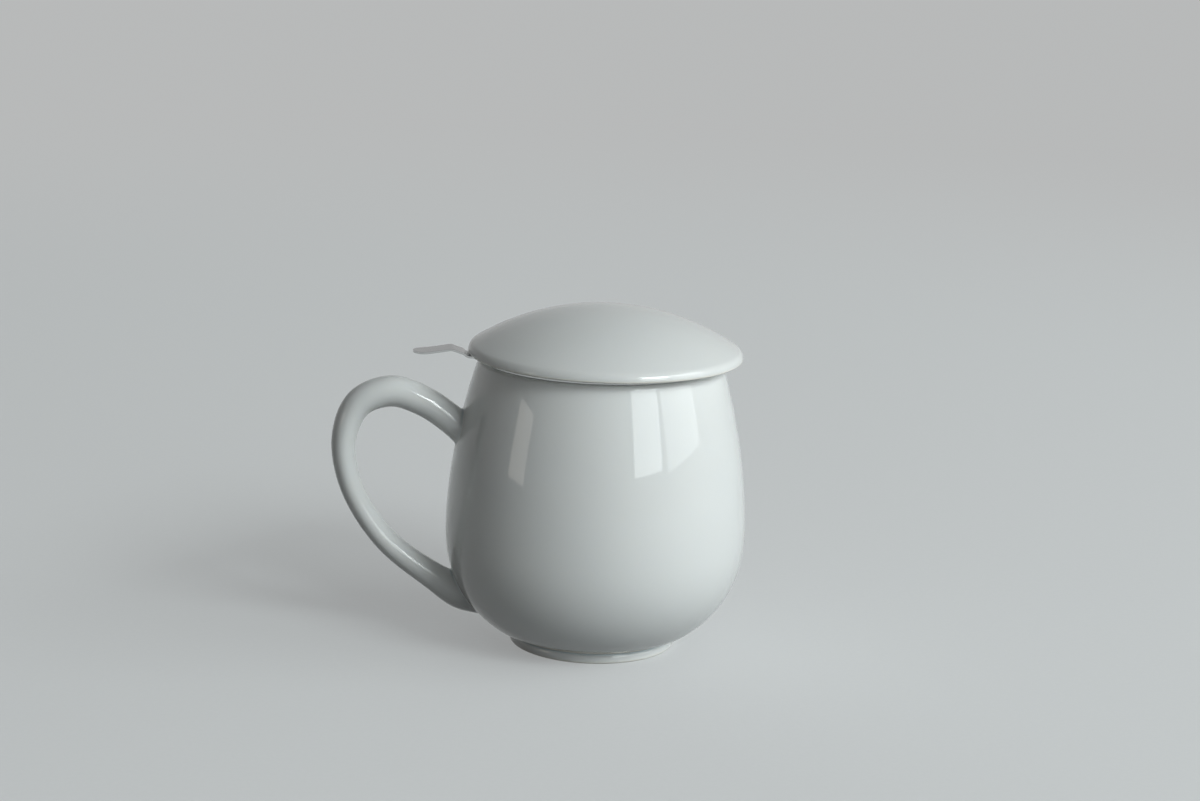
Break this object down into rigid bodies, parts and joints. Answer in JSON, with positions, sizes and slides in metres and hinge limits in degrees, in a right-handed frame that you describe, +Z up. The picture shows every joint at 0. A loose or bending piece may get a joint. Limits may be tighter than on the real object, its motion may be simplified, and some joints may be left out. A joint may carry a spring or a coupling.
{
  "type": "lidded tea mug with infuser",
  "caption": "Round-bellied porcelain tea mug with an ear handle, a domed lid that lifts off, and a perforated steel infuser basket with a thumb tab that hangs in the mouth.",
  "frame": {"origin": "on the table, under the middle of the mug's length from the handle's outer face to the far side of the body; the body's own axis stands at x = +0.0168 m", "axes": "+Z up; +X from the handle towards the body; the handle and the infuser's tab point to -X; +Y across, and the XZ plane is the mirror plane"},
  "size_m": [0.1216, 0.088, 0.1004],
  "materials": {
    "porcelain": "gloss white glaze, bare on the foot ring and on the lid's seat",
    "polished_steel": "polished stainless steel sheet",
    "filter_steel": "satin stainless steel sheet with a staggered pattern of holes"
  },
  "bodies": {
    "mug": {"mug_body": "porcelain", "mug_handle": "porcelain"},
    "infuser": {"infuser_rim": "polished_steel", "infuser_neck_band": "polished_steel", "infuser_filter_wall": "filter_steel", "infuser_base_ring": "polished_steel", "infuser_filter_base": "filter_steel"},
    "lid": {"lid": "porcelain"}
  },
  "joints": [
    {"name": "infuser_lift", "type": "slide", "parent": "mug", "child": "infuser", "axis": [0, 0, 1], "range_m": [0, 0.07]},
    {"name": "lid_lift", "type": "slide", "parent": "infuser", "child": "lid", "axis": [0, 0, 1], "range_m": [0, 0.045]}
  ]
}
